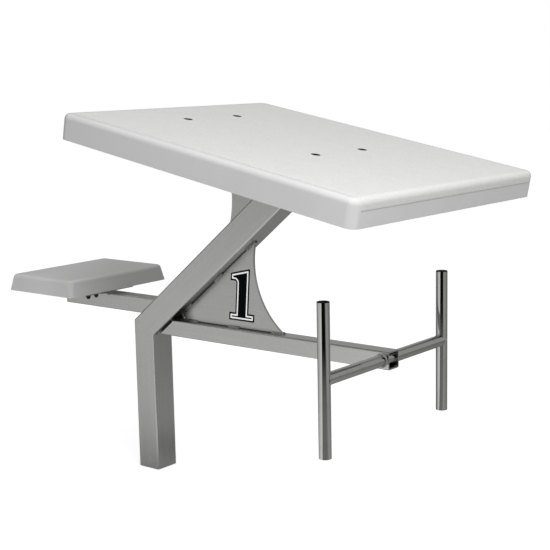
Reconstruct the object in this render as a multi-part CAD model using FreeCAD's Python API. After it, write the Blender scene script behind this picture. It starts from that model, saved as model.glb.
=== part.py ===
import FreeCAD, Part
import math
import os

from FreeCAD import Placement, Rotation, Vector

# Sizes are in millimetres and angles in degrees. The origin is the centre of the post's
# lower end. +X points to the pool, +Y to the left of a swimmer facing it, and +Z up.

# Post and strut, one square section mitred at the knee
frame_side = 63.5
frame_wall = 3.2
frame_corner = 4.0
knee_height = 345.4
strut_slope = 39.25
foot_plug_depth = 12.0

# Arms, a smaller square section
arm_side = 38.1
arm_wall = 3.0
arm_corner = 3.0
front_arm_above_knee = 1.2
front_arm_end = 685.7
rear_arm_above_knee = 15.3
rear_arm_short_of_plate = 15.0
arm_plug_depth = 18.0

# Gussets in the middle plane, each with one hollow curved edge
gusset_thickness = 6.0
front_gusset_curve = 185.0
rear_gusset_curve = 213.0
front_gusset_on_arm = 321.1
front_gusset_on_strut = 317.8
front_clip_on_arm = 31.0
front_clip_on_strut = 28.0
rear_gusset_on_strut = 235.0
rear_gusset_before_bolts = 28.5
rear_clip = 12.0

# Backstroke grips: a cross bar through the front arm with an upright at each end
bar_diameter = 25.4
bar_wall = 2.0
bar_from_arm_end = 16.9
grip_spacing = 430.7
grip_below_bar = 156.1
grip_above_bar = 153.8
grip_cap_rim = 1.2
grip_plug_depth = 20.0
grip_plug_recess = 1.0

# Head plate that carries the tread
head_plate_thickness = 8.0
head_plate_margin = 30.0
head_plate_corner = 12.0

# Tread, sloping down to the pool; its place is the lower edge of its front
tread_length = 762.0
tread_width = 660.4
tread_height = 56.3
tread_slope = 11.1
tread_front_x = 820.0
tread_front_z = 662.4
tread_corner = 19.5
tread_edge = 12.0
tread_wall = 5.0
tread_backing_thickness = 5.0
grit_thickness = 1.0
grit_lip_drop = 24.7
glue_line = 0.3

# Tread bolts
bolts_ahead_of_strut = 33.0
bolts_from_rear = 130.0
bolt_spread = 163.0
tread_bolt_diameter = 12.0
tread_head_diameter = 18.0
tread_head_height = 12.0
tread_head_sink = 8.0
tread_socket_across = 10.0
tread_socket_depth = 6.0
tread_nut_across = 19.0
tread_nut_height = 10.0
tread_washer_diameter = 24.0
tread_washer_thickness = 2.5
bolt_tail = 4.0

# Rear step
step_length = 223.3
step_width = 320.4
step_height = 39.2
step_front_x = -106.2
step_flare = 6.5
step_corner = 9.5
step_top_corner = 14.0
step_edge = 10.0
step_wall = 4.0
step_backing_thickness = 5.0

# Plate, studs and dome nuts that hold the rear step
step_plate_thickness = 10.0
step_plate_end_margin = 10.0
step_plate_side_margin = 16.0
step_plate_corner = 10.0
step_stud_diameter = 6.0
step_stud_grip = 26.0
step_stud_rows = 136.0
step_stud_inner = 80.4
step_stud_outer = 131.6
step_nut_across = 10.0
step_nut_height = 4.4
step_nut_shoulder = 0.4
step_washer_diameter = 12.0
step_washer_thickness = 1.6

# Welds
weld_leg = 4.5
weld_crown = 0.2
stitch_after_clip = 7.5
stitch_length = 32.0
stitch_pitch = 125.0
ring_weld_leg = 2.5

# Lane number, a plain figure one in three nested thin layers
number_from_strut = 21.1
number_above_arm = 17.3
number_height = 120.4
number_foot_width = 73.0
number_foot_height = 17.7
number_stem_width = 37.8
number_flag_reach = 17.2
number_flag_fall = 12.9
number_flag_depth = 16.9
number_flag_bend = 5.0
number_lean = 4.6
number_border = 3.8
number_line = 3.4
number_thickness = 0.3

# Clearances
bolt_clearance = 0.5
thread_clearance = 0.1
bar_clearance = 0.15

# Values worked out from the sizes above
cutter_size = 3.0 * (tread_length + front_arm_end)
middle_x = Vector(1, 0, 0)
middle_y = Vector(0, 1, 0)
middle_z = Vector(0, 0, 1)


def crossing(a, along_a, b, along_b):
    # Where two lines of the middle plane meet
    turn = along_a.x * along_b.z - along_a.z * along_b.x
    reach = ((b.x - a.x) * along_b.z - (b.z - a.z) * along_b.x) / turn
    return a + along_a * reach


knee_lean = (90.0 - strut_slope) / 2.0
knee_rise = frame_side / 2.0 * math.tan(math.radians(knee_lean))
front_knee = Vector(frame_side / 2.0, 0, knee_height - knee_rise)
rear_knee = Vector(-frame_side / 2.0, 0, knee_height + knee_rise)
strut_along = Vector(math.cos(math.radians(strut_slope)), 0, math.sin(math.radians(strut_slope)))
strut_off = Vector(-strut_along.z, 0, strut_along.x)

tread_front = Vector(tread_front_x, 0, tread_front_z)
tread_back = Vector(-math.cos(math.radians(tread_slope)), 0, math.sin(math.radians(tread_slope)))
tread_place = Placement(tread_front, Rotation(middle_y, tread_slope))
tread_down = tread_place.Rotation.multVec(Vector(0, 0, -1))

strut_end_front = crossing(front_knee, strut_along, tread_front, tread_back)
strut_end_rear = crossing(rear_knee, strut_along, tread_front, tread_back)
front_bolts_back = tread_front.distanceToPoint(strut_end_front) - bolts_ahead_of_strut
rear_bolts_back = tread_length - bolts_from_rear
rear_gusset_back = rear_bolts_back - rear_gusset_before_bolts
rear_gusset_on_plate = rear_gusset_back - tread_front.distanceToPoint(strut_end_rear)
tread_bolt_places = [(-back, side * bolt_spread / 2.0)
                     for back in (front_bolts_back, rear_bolts_back) for side in (-1, 1)]

bar_radius = bar_diameter / 2.0
bar_x = front_arm_end - bar_from_arm_end
arm_bottom = front_knee.z + front_arm_above_knee
arm_top = arm_bottom + arm_side
front_arm_height = arm_bottom + arm_side / 2.0
rear_arm_bottom = rear_knee.z + rear_arm_above_knee
rear_arm_top = rear_arm_bottom + arm_side
rear_arm_height = rear_arm_bottom + arm_side / 2.0
front_corner = crossing(front_knee, strut_along, Vector(0, 0, arm_top), middle_x)
grip_foot = front_arm_height - grip_below_bar
grip_top = front_arm_height + grip_above_bar

step_bottom = rear_arm_top + step_plate_thickness
step_middle_x = step_front_x - step_length / 2.0
step_plate_length = step_stud_rows + 2 * step_plate_end_margin
step_plate_width = step_stud_outer + 2 * step_plate_side_margin
rear_arm_end = step_middle_x - step_plate_length / 2.0 + rear_arm_short_of_plate
# Two studs in three corners of the plate: the photo shows none in its front left corner
step_stud_places = [(step_middle_x + row * step_stud_rows / 2.0, side * spread / 2.0)
                    for row, side in ((-1, -1), (-1, 1), (1, -1))
                    for spread in (step_stud_inner, step_stud_outer)]

number_base = arm_top + number_above_arm
number_tip_top = number_base + number_height - number_flag_fall
strut_beside_tip = crossing(front_knee, strut_along, Vector(0, 0, number_tip_top), middle_x)
number_lean_run = math.tan(math.radians(number_lean))
number_tip = strut_beside_tip.x + number_from_strut - number_lean_run * (number_tip_top - number_base)
number_centre = number_tip + number_flag_reach + number_stem_width / 2.0


def save(name, shape):
    shape.exportStep("parts/" + name + ".step")


def beyond(point, lean):
    # A block that fills all space past a plane; its normal leans from +Z towards +X
    block = Part.makeBox(cutter_size, cutter_size, cutter_size,
                         Vector(-cutter_size / 2.0, -cutter_size / 2.0, 0))
    block.Placement = Placement(point, Rotation(middle_y, lean))
    return block


def rounded_block(length, width, height, corner, base=Vector(0, 0, 0)):
    # A block on its base centre, its four upright edges rounded
    block = Part.makeBox(length, width, height, Vector(base.x - length / 2.0, base.y - width / 2.0, base.z))
    upright = [edge for edge in block.Edges if edge.BoundBox.ZLength > height / 2.0]
    return block.makeFillet(corner, upright)


def round_top(block, radius):
    # Rounds the edges around the highest face
    top = block.BoundBox.ZMax
    rim = [edge for edge in block.Edges if edge.BoundBox.ZMin > top - 0.001]
    return block.makeFillet(radius, rim)


def square_tube(side, wall, corner, length):
    inner_corner = max(corner - wall, wall / 4.0)
    outside = rounded_block(side, side, length, corner)
    inside = rounded_block(side - 2 * wall, side - 2 * wall, length, inner_corner)
    return outside.cut(inside)


def square_plug(side, wall, corner, depth):
    return rounded_block(side - 2 * wall, side - 2 * wall, depth, max(corner - wall, wall / 4.0))


def lay_along_x(shape, start_x, height):
    shape.Placement = Placement(Vector(start_x, 0, height), Rotation(middle_y, 90))
    return shape


def flat_plate(edges, thickness):
    # A plate centred on the middle plane from an outline drawn in it
    face = Part.Face(Part.Wire(edges))
    face.translate(Vector(0, -thickness / 2.0, 0))
    return face.extrude(Vector(0, thickness, 0))


def bead(start, run, side_a, side_b, leg):
    # A weld bead along a corner: two legs and a slightly crowned face
    toe_a = start + side_a * leg
    toe_b = start + side_b * leg
    middle = (toe_a + toe_b) * 0.5
    crown = middle + (middle - start) * weld_crown
    face = Part.Arc(toe_a, crown, toe_b).toShape()
    edges = [Part.makeLine(start, toe_a), face, Part.makeLine(toe_b, start)]
    return Part.Face(Part.Wire(edges)).extrude(run)


def hexagon(across, height, base, direction):
    # A hexagonal prism standing on base along direction
    points = []
    for index in range(7):
        angle = math.radians(60.0 * index)
        reach = across / math.sqrt(3.0)
        points.append(Vector(reach * math.cos(angle), reach * math.sin(angle), 0))
    prism = Part.Face(Part.makePolygon(points)).extrude(Vector(0, 0, height))
    prism.Placement = Placement(base, Rotation(middle_z, direction))
    return prism


def on_tread(shape):
    # Moves a shape from the tread's own axes to its sloping place
    shape.Placement = tread_place.multiply(shape.Placement)
    return shape


# Post, strut and arms
def post_tube():
    tube = square_tube(frame_side, frame_wall, frame_corner, knee_height + frame_side)
    return tube.cut(beyond(Vector(0, 0, knee_height), knee_lean))


def strut_tube():
    length = 2.0 * (tread_front_x + tread_front_z)
    tube = square_tube(frame_side, frame_wall, frame_corner, length)
    start = Vector(0, 0, knee_height) - strut_along * frame_side
    tube.Placement = Placement(start, Rotation(middle_y, 90.0 - strut_slope))
    tube = tube.common(beyond(Vector(0, 0, knee_height), knee_lean))
    return tube.cut(beyond(tread_front, tread_slope))


def foot_plug():
    return square_plug(frame_side, frame_wall, frame_corner, foot_plug_depth)


def bar_core(radius, half_length):
    # A round bar on the cross bar's axis
    return Part.makeCylinder(radius, 2 * half_length, Vector(bar_x, -half_length, front_arm_height), middle_y)


def front_arm():
    tube = lay_along_x(square_tube(arm_side, arm_wall, arm_corner, front_arm_end), 0, front_arm_height)
    tube = tube.cut(beyond(front_knee, -strut_slope))
    return tube.cut(bar_core(bar_radius + bar_clearance, arm_side))


def rear_arm():
    length = frame_side * 2.0 - rear_arm_end
    tube = lay_along_x(square_tube(arm_side, arm_wall, arm_corner, length), rear_arm_end, rear_arm_height)
    return tube.common(beyond(rear_knee, -strut_slope))


def rear_arm_plug():
    plug = square_plug(arm_side, arm_wall, arm_corner, arm_plug_depth)
    return lay_along_x(plug, rear_arm_end, rear_arm_height)


# Gussets
def gusset(corner, curve, along_a, reach_a, clip_a, along_b, reach_b, clip_b):
    # A corner plate between two straight seams, its inner corner clipped and its far edge hollowed
    end_a = corner + along_a * reach_a
    end_b = corner + along_b * reach_b
    clip_start = corner + along_a * clip_a
    clip_end = corner + along_b * clip_b
    middle = (end_a + end_b) * 0.5
    outward = Vector(end_b.z - end_a.z, 0, end_a.x - end_b.x).normalize()
    if outward.dot(middle - corner) < 0:
        outward = outward * -1.0
    half_chord = end_a.distanceToPoint(end_b) / 2.0
    centre = middle + outward * math.sqrt(curve ** 2 - half_chord ** 2)
    deepest = centre - outward * curve
    edges = [Part.makeLine(clip_start, end_a), Part.Arc(end_a, deepest, end_b).toShape(),
             Part.makeLine(end_b, clip_end), Part.makeLine(clip_end, clip_start)]
    return flat_plate(edges, gusset_thickness)


def front_gusset():
    return gusset(front_corner, front_gusset_curve, middle_x, front_gusset_on_arm, front_clip_on_arm,
                  strut_along, front_gusset_on_strut, front_clip_on_strut)


def rear_gusset():
    return gusset(strut_end_rear, rear_gusset_curve, tread_back, rear_gusset_on_plate, rear_clip,
                  strut_along * -1.0, rear_gusset_on_strut, rear_clip)


# Welds
def stitches(corner, along, first, last, off_seam):
    # Short beads on both sides of a gusset, evenly spaced along one of its seams
    beads = []
    place = first
    while place + stitch_length <= last:
        for side in (-1, 1):
            start = corner + along * place + Vector(0, side * gusset_thickness / 2.0, 0)
            beads.append(bead(start, along * stitch_length, off_seam, Vector(0, side, 0), weld_leg))
        place = place + stitch_pitch
    return beads


def front_gusset_welds():
    under_strut = strut_off * -1.0
    on_arm = stitches(front_corner, middle_x, front_clip_on_arm + stitch_after_clip, front_gusset_on_arm, middle_z)
    on_strut = stitches(front_corner, strut_along, front_clip_on_strut + stitch_after_clip,
                        front_gusset_on_strut, under_strut)
    return Part.makeCompound(on_arm + on_strut)


def rear_gusset_welds():
    root = rear_clip + weld_leg
    on_plate = stitches(strut_end_rear, tread_back, root, rear_gusset_on_plate, tread_down)
    on_strut = stitches(strut_end_rear, strut_along * -1.0, root, rear_gusset_on_strut, strut_off)
    return Part.makeCompound(on_plate + on_strut)


def arm_seam(knee, off_face, low, high):
    # Beads around the end of an arm that stands on a sloping face of the strut
    foot = crossing(knee, strut_along, Vector(0, 0, low), middle_x)
    head = crossing(knee, strut_along, Vector(0, 0, high), middle_x)
    away = middle_x if off_face.x > 0 else middle_x * -1.0
    half = arm_side / 2.0
    flat = half - arm_corner
    beads = []
    for side in (-1, 1):
        start = Vector(foot.x, side * half, foot.z) + strut_along * arm_corner
        run = head - foot - strut_along * 2 * arm_corner
        beads.append(bead(start, run, off_face, Vector(0, side, 0), weld_leg))
    low_leg = min(weld_leg, foot.distanceToPoint(knee) * 0.8)
    low_start = Vector(foot.x, -flat, foot.z)
    high_start = Vector(head.x, -flat, head.z)
    across = Vector(0, 2 * flat, 0)
    beads.append(bead(low_start, across, away, strut_along * -1.0, low_leg))
    beads.append(bead(high_start, across, away, strut_along, weld_leg))
    return Part.makeCompound(beads)


def front_arm_welds():
    return arm_seam(front_knee, strut_off * -1.0, arm_bottom, arm_top)


def rear_arm_welds():
    return arm_seam(rear_knee, strut_off, rear_arm_bottom, rear_arm_top)


def head_plate_welds():
    # Beads between the strut's end and the plate's underside: both sides and the low front
    front = strut_end_front
    flat = frame_side / 2.0 - frame_corner
    run = strut_end_rear - front - tread_back * 2 * frame_corner
    beads = []
    for side in (-1, 1):
        start = Vector(front.x, side * frame_side / 2.0, front.z) + tread_back * frame_corner
        beads.append(bead(start, run, tread_down, Vector(0, side, 0), weld_leg))
    beads.append(bead(Vector(front.x, -flat, front.z), Vector(0, 2 * flat, 0),
                      tread_back * -1.0, strut_along * -1.0, weld_leg))
    return Part.makeCompound(beads)


def cross_bar_welds():
    # A ring where the bar comes out of each side wall of the arm
    rings = []
    for side in (-1, 1):
        face = Vector(bar_x, side * arm_side / 2.0, front_arm_height)
        cone = Part.makeCone(bar_radius + ring_weld_leg, bar_radius, ring_weld_leg, face, Vector(0, side, 0))
        rings.append(cone.cut(bar_core(bar_radius, arm_side)))
    return Part.makeCompound(rings)


def grip_welds():
    # A saddle where each end of the bar meets its upright
    saddles = []
    for side in (-1, 1):
        upright = grip_axis(side, bar_radius + ring_weld_leg / 2.0)
        half_bar = Part.makeCylinder(bar_radius + ring_weld_leg / 2.0, grip_spacing / 2.0,
                                     Vector(bar_x, 0, front_arm_height), Vector(0, side, 0))
        saddle = upright.common(half_bar)
        saddle = saddle.cut(grip_axis(side, bar_radius))
        saddles.append(saddle.cut(bar_core(bar_radius, grip_spacing / 2.0)))
    return Part.makeCompound(saddles)


def step_plate_welds():
    # Two long beads under the plate, one along each side of the rear arm
    beads = []
    first = rear_arm_end + weld_leg
    length = step_middle_x + step_plate_length / 2.0 - weld_leg - first
    for side in (-1, 1):
        start = Vector(first, side * arm_side / 2.0, rear_arm_top)
        beads.append(bead(start, Vector(length, 0, 0), middle_z * -1.0, Vector(0, side, 0), arm_corner + 2.0))
    return Part.makeCompound(beads)


# Backstroke grips
def grip_axis(side, radius):
    # A round bar on the axis of one upright, over its full height
    foot = Vector(bar_x, side * grip_spacing / 2.0, grip_foot)
    return Part.makeCylinder(radius, grip_top - grip_foot, foot)


def cross_bar():
    bar = bar_core(bar_radius, grip_spacing / 2.0).cut(bar_core(bar_radius - bar_wall, grip_spacing / 2.0))
    for side in (-1, 1):
        bar = bar.cut(grip_axis(side, bar_radius + bar_clearance))
    return bar


def grip(side):
    tube = grip_axis(side, bar_radius).cut(grip_axis(side, bar_radius - bar_wall))
    return tube.cut(beyond(Vector(0, 0, grip_top - grip_cap_rim), 0))


def grip_top_plugs():
    # A stem inside the tube and a thin rounded rim over its end
    plugs = []
    for side in (-1, 1):
        centre = Vector(bar_x, side * grip_spacing / 2.0, grip_top - grip_cap_rim)
        rim = Part.makeCylinder(bar_radius, grip_cap_rim, centre)
        rim = round_top(rim, grip_cap_rim * 0.6)
        stem_radius = bar_radius - bar_wall - thread_clearance
        stem = Part.makeCylinder(stem_radius, grip_plug_depth, centre, middle_z * -1.0)
        plugs.append(rim.fuse(stem))
    return Part.makeCompound(plugs)


def grip_bottom_plugs():
    plugs = []
    for side in (-1, 1):
        centre = Vector(bar_x, side * grip_spacing / 2.0, grip_foot + grip_plug_recess)
        plugs.append(Part.makeCylinder(bar_radius - bar_wall - thread_clearance, grip_plug_depth, centre))
    return Part.makeCompound(plugs)


# Tread, drawn on its own axes: x back from the front edge is negative, z is square to its top
def drill_tread(shape, radius, low, high):
    for x, y in tread_bolt_places:
        shape = shape.cut(Part.makeCylinder(radius, high - low, Vector(x, y, low)))
    return shape


def tread_form(inset, low, high):
    # The tread's rounded block, drawn in by an even inset and cut between two levels
    length = tread_length - grit_thickness - 2 * inset
    middle = Vector(-grit_thickness - inset - length / 2.0, 0, low)
    return rounded_block(length, tread_width - 2 * inset, high - low, tread_corner - inset, middle)


def tread_shell():
    top = tread_height - grit_thickness
    outside = round_top(tread_form(0, 0, top), tread_edge)
    inside = round_top(tread_form(tread_wall, 0, top - tread_wall), tread_edge - tread_wall)
    shell = outside.cut(inside)
    return on_tread(drill_tread(shell, tread_head_diameter / 2.0 + bolt_clearance, 0, tread_height))


def tread_core():
    inset = tread_wall + glue_line
    low = head_plate_thickness + tread_backing_thickness
    core = round_top(tread_form(inset, low, tread_height - grit_thickness - inset), tread_edge - inset)
    seat = tread_height - tread_head_sink - tread_head_height
    core = drill_tread(core, tread_head_diameter / 2.0 + bolt_clearance, seat, tread_height)
    return on_tread(drill_tread(core, tread_bolt_diameter / 2.0 + bolt_clearance, 0, tread_height))


def tread_backing():
    low = head_plate_thickness
    panel = tread_form(tread_wall + glue_line, low, low + tread_backing_thickness)
    return on_tread(drill_tread(panel, tread_bolt_diameter / 2.0 + bolt_clearance, 0, tread_height))


def tread_grit():
    # The non-slip layer: over the top, round the front edge and down to its lip
    skin_top = tread_height - grit_thickness
    turn = Vector(-grit_thickness - tread_edge, 0, skin_top - tread_edge)
    diagonal = Vector(math.sqrt(0.5), 0, math.sqrt(0.5))
    rear = -tread_length + tread_corner
    lip = tread_height - grit_lip_drop
    outer_turn = tread_edge + grit_thickness
    outer = [Vector(rear, 0, tread_height), Vector(turn.x, 0, tread_height), turn + diagonal * outer_turn,
             Vector(0, 0, turn.z), Vector(0, 0, lip)]
    inner = [Vector(-grit_thickness, 0, lip), Vector(-grit_thickness, 0, turn.z),
             turn + diagonal * tread_edge, Vector(turn.x, 0, skin_top), Vector(rear, 0, skin_top)]
    edges = [Part.makeLine(outer[0], outer[1]), Part.Arc(outer[1], outer[2], outer[3]).toShape(),
             Part.makeLine(outer[3], outer[4]), Part.makeLine(outer[4], inner[0]),
             Part.makeLine(inner[0], inner[1]), Part.Arc(inner[1], inner[2], inner[3]).toShape(),
             Part.makeLine(inner[3], inner[4]), Part.makeLine(inner[4], outer[0])]
    layer = flat_plate(edges, tread_width - 2 * tread_corner)
    return on_tread(drill_tread(layer, tread_head_diameter / 2.0 + bolt_clearance, 0, 2 * tread_height))


def head_plate():
    length = rear_bolts_back - front_bolts_back + 2 * head_plate_margin
    width = bolt_spread + 2 * head_plate_margin
    middle = Vector(-(front_bolts_back + rear_bolts_back) / 2.0, 0, 0)
    plate = rounded_block(length, width, head_plate_thickness, head_plate_corner, middle)
    return on_tread(drill_tread(plate, tread_bolt_diameter / 2.0 + bolt_clearance, 0, tread_height))


def tread_bolts():
    seat = tread_height - tread_head_sink - tread_head_height
    tail = tread_washer_thickness + tread_nut_height + bolt_tail
    bolts = []
    for x, y in tread_bolt_places:
        head = Part.makeCylinder(tread_head_diameter / 2.0, tread_head_height, Vector(x, y, seat))
        head = round_top(head, tread_head_height / 10.0)
        socket_floor = Vector(x, y, seat + tread_head_height - tread_socket_depth)
        head = head.cut(hexagon(tread_socket_across, tread_socket_depth, socket_floor, middle_z))
        shank = Part.makeCylinder(tread_bolt_diameter / 2.0, seat + tail, Vector(x, y, -tail))
        bolts.append(head.fuse(shank))
    return on_tread(Part.makeCompound(bolts))


def tread_washers():
    washers = []
    for x, y in tread_bolt_places:
        base = Vector(x, y, -tread_washer_thickness)
        disc = Part.makeCylinder(tread_washer_diameter / 2.0, tread_washer_thickness, base)
        hole = Part.makeCylinder(tread_bolt_diameter / 2.0 + bolt_clearance, tread_washer_thickness, base)
        washers.append(disc.cut(hole))
    return on_tread(Part.makeCompound(washers))


def tread_nuts():
    nuts = []
    for x, y in tread_bolt_places:
        base = Vector(x, y, -tread_washer_thickness - tread_nut_height)
        nut = hexagon(tread_nut_across, tread_nut_height, base, middle_z)
        bore = Part.makeCylinder(tread_bolt_diameter / 2.0 + thread_clearance, tread_nut_height, base)
        nuts.append(nut.cut(bore))
    return on_tread(Part.makeCompound(nuts))


# Rear step
def outline(length, width, corner, height):
    # A rounded rectangle around the step's middle, at one height
    block = rounded_block(length, width, 1.0, corner, Vector(step_middle_x, 0, height))
    lowest = min(block.Faces, key=lambda face: face.CenterOfMass.z)
    return lowest.OuterWire


def step_form(inset, low, high):
    # The step's flared block, drawn in by an even inset, between two heights above its lower edge
    def at(height):
        drawn = inset + step_flare * height / step_height
        corner = step_corner + (step_top_corner - step_corner) * height / step_height - inset
        return outline(step_length - 2 * drawn, step_width - 2 * drawn, corner, step_bottom + height)
    return Part.makeLoft([at(low), at(high)], True, True)


def drill_step(shape, radius):
    for x, y in step_stud_places:
        hole = Part.makeCylinder(radius, step_plate_thickness + step_stud_grip, Vector(x, y, rear_arm_top))
        shape = shape.cut(hole)
    return shape


def step_shell():
    outside = round_top(step_form(0, 0, step_height), step_edge)
    inside = round_top(step_form(step_wall, 0, step_height - step_wall), step_edge - step_wall)
    return outside.cut(inside)


def step_core():
    inset = step_wall + glue_line
    core = round_top(step_form(inset, step_backing_thickness, step_height - inset), step_edge - inset)
    return drill_step(core, step_stud_diameter / 2.0 + thread_clearance)


def step_backing():
    panel = step_form(step_wall + glue_line, 0, step_backing_thickness)
    return drill_step(panel, step_stud_diameter / 2.0 + thread_clearance)


def step_plate():
    base = Vector(step_middle_x, 0, rear_arm_top)
    plate = rounded_block(step_plate_length, step_plate_width, step_plate_thickness, step_plate_corner, base)
    return drill_step(plate, step_stud_diameter / 2.0 + bolt_clearance)


def step_studs():
    below = step_washer_thickness + step_nut_height
    length = below + step_plate_thickness + step_stud_grip
    studs = [Part.makeCylinder(step_stud_diameter / 2.0, length, Vector(x, y, rear_arm_top - below))
             for x, y in step_stud_places]
    return Part.makeCompound(studs)


def step_washers():
    washers = []
    for x, y in step_stud_places:
        base = Vector(x, y, rear_arm_top - step_washer_thickness)
        disc = Part.makeCylinder(step_washer_diameter / 2.0, step_washer_thickness, base)
        hole = Part.makeCylinder(step_stud_diameter / 2.0 + bolt_clearance, step_washer_thickness, base)
        washers.append(disc.cut(hole))
    return Part.makeCompound(washers)


def step_nuts():
    # Dome nuts: a hexagon against the washer and a round dome below it
    nuts = []
    for x, y in step_stud_places:
        base = Vector(x, y, rear_arm_top - step_washer_thickness - step_nut_height)
        body = hexagon(step_nut_across, step_nut_height, base, middle_z)
        bore = Part.makeCylinder(step_stud_diameter / 2.0 + thread_clearance, step_nut_height, base)
        dome = Part.makeSphere(step_nut_across / 2.0 - step_nut_shoulder, base, middle_z, -90, 0)
        nuts.append(body.cut(bore).fuse(dome))
    return Part.makeCompound(nuts)


# Lane number
def number_point(across, up):
    # A point of the leaning figure, measured from the middle of its foot
    return Vector(number_centre + across + up * number_lean_run, 0, number_base + up)


def number_face():
    # The outline of a plain figure one: a foot, a stem and a flag with a curved underside
    stem = number_stem_width / 2.0
    foot = number_foot_width / 2.0
    tip_top = number_height - number_flag_fall
    tip_low = tip_top - number_flag_depth
    bend = number_flag_bend * (1.0 - math.sqrt(0.5))
    arc = Part.Arc(number_point(-stem - number_flag_bend, tip_low), number_point(-stem - bend, tip_low - bend),
                   number_point(-stem, tip_low - number_flag_bend))
    corners = [(-stem, tip_low - number_flag_bend), (-stem, number_foot_height), (-foot, number_foot_height),
               (-foot, 0), (foot, 0), (foot, number_foot_height), (stem, number_foot_height),
               (stem, number_height), (-stem - number_flag_reach, tip_top),
               (-stem - number_flag_reach, tip_low), (-stem - number_flag_bend, tip_low)]
    points = [number_point(across, up) for across, up in corners]
    lines = [Part.makeLine(a, b) for a, b in zip(points, points[1:])]
    return Part.Face(Part.Wire(lines + [arc.toShape()]))


def number_layer(face):
    # One thin layer on each side of the gusset; the far one is turned to read from its own side
    face = face.copy()
    face.translate(Vector(0, -gusset_thickness / 2.0, 0))
    near = face.extrude(Vector(0, -number_thickness, 0))
    far = near.copy()
    far.rotate(number_point(0, number_height / 2.0), middle_z, 180)
    return Part.makeCompound([near, far])


def lane_number():
    outer = number_face()
    middle = outer.makeOffset2D(-number_border, 2)
    inner = outer.makeOffset2D(-number_border - number_line, 2)
    save("number_border", number_layer(outer.cut(middle)))
    save("number_line", number_layer(middle.cut(inner)))
    save("number_figure", number_layer(inner))


def build():
    os.makedirs("parts", exist_ok=True)
    makers = [post_tube, strut_tube, foot_plug, front_arm, rear_arm, rear_arm_plug,
              front_gusset, rear_gusset, front_gusset_welds, rear_gusset_welds,
              front_arm_welds, rear_arm_welds, head_plate, head_plate_welds,
              cross_bar, cross_bar_welds, grip_welds, grip_top_plugs, grip_bottom_plugs,
              tread_shell, tread_core, tread_backing, tread_grit, tread_bolts, tread_washers, tread_nuts,
              step_shell, step_core, step_backing, step_plate, step_plate_welds,
              step_studs, step_washers, step_nuts]
    for maker in makers:
        save(maker.__name__, maker())
    save("grip_right", grip(-1))
    save("grip_left", grip(1))
    lane_number()


build()
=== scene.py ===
import math

import bmesh
import bpy
from mathutils import Matrix, Vector, noise


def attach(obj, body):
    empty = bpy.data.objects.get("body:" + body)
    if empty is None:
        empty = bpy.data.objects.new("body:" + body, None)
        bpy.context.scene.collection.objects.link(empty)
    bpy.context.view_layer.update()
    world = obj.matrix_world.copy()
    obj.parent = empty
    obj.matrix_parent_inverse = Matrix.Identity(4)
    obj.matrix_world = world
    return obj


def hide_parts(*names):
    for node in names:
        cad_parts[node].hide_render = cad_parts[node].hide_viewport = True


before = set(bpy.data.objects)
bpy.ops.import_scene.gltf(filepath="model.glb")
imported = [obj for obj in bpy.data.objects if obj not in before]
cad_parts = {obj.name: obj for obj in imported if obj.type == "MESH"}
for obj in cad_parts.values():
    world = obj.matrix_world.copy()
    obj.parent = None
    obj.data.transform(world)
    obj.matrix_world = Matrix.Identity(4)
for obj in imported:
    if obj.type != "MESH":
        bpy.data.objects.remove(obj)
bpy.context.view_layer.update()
print("frame loaded")

# Everything is in metres: +X to the pool, +Y to the left of a swimmer facing it, +Z up

block = {
    "tubeSide": 0.0635,
    "armSide": 0.0381,
    "armCorner": 0.003,
    "tubeCorner": 0.004,
    "strutSlope": math.radians(39.25),
    "treadSlope": math.radians(11.1),
    "treadFront": Vector((0.820, 0.0, 0.6624)),
    "frontKnee": Vector((0.03175, 0.0, 0.330341)),
    "rearKnee": Vector((-0.03175, 0.0, 0.360459)),
    "strutEndFront": Vector((0.512104, 0.0, 0.722807)),
    "strutEndRear": Vector((0.431175, 0.0, 0.738684)),
    "frontCorner": Vector((0.079851, 0.0, 0.369641)),
    "frontArmBottom": 0.331541,
    "frontArmTop": 0.369641,
    "rearArmBottom": 0.375759,
    "rearArmTop": 0.413859,
    "barX": 0.6688,
    "barHeight": 0.350591,
    "barRadius": 0.0127,
    "stepSeamStart": -0.27635,
    "stepSeamEnd": -0.14435,
    "boltsBack": (0.280766, 0.632),
    "boltsApart": 0.0815,
}
strutAlong = Vector((math.cos(block["strutSlope"]), 0.0, math.sin(block["strutSlope"])))
strutOff = Vector((-strutAlong.z, 0.0, strutAlong.x))
armAlong = Vector((1.0, 0.0, 0.0))
sideways = Vector((0.0, 1.0, 0.0))
upward = Vector((0.0, 0.0, 1.0))
treadBack = Vector((-math.cos(block["treadSlope"]), 0.0, math.sin(block["treadSlope"])))
treadDown = Vector((-math.sin(block["treadSlope"]), 0.0, -math.cos(block["treadSlope"])))
treadPlace = Matrix.Translation(block["treadFront"]) @ Matrix.Rotation(block["treadSlope"], 4, "Y")


# Camera, at the photograph's place
view = {
    "turn": math.radians(39.014),
    "rise": math.radians(9.371),
    "roll": math.radians(-1.182),
    "place": Vector((2.06233, -2.07888, 0.94119)),
    "lens": 81.395,
    "sensor": 36.0,
    "clipEnd": 60.0,
}


def placeCamera():
    back = Vector((math.sin(view["turn"]) * math.cos(view["rise"]),
                   -math.cos(view["turn"]) * math.cos(view["rise"]), math.sin(view["rise"])))
    level = Vector((math.cos(view["turn"]), math.sin(view["turn"]), 0.0))
    upright = back.cross(level)
    right = level * math.cos(view["roll"]) + upright * math.sin(view["roll"])
    up = back.cross(right)
    lens = bpy.data.cameras.new("camera")
    lens.sensor_fit = "HORIZONTAL"
    lens.sensor_width = view["sensor"]
    lens.lens = view["lens"]
    lens.clip_end = view["clipEnd"]
    camera = bpy.data.objects.new("camera", lens)
    facing = Matrix((right, up, back)).transposed().to_4x4()
    camera.matrix_world = Matrix.Translation(view["place"]) @ facing
    bpy.context.scene.collection.objects.link(camera)
    bpy.context.scene.camera = camera


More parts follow.
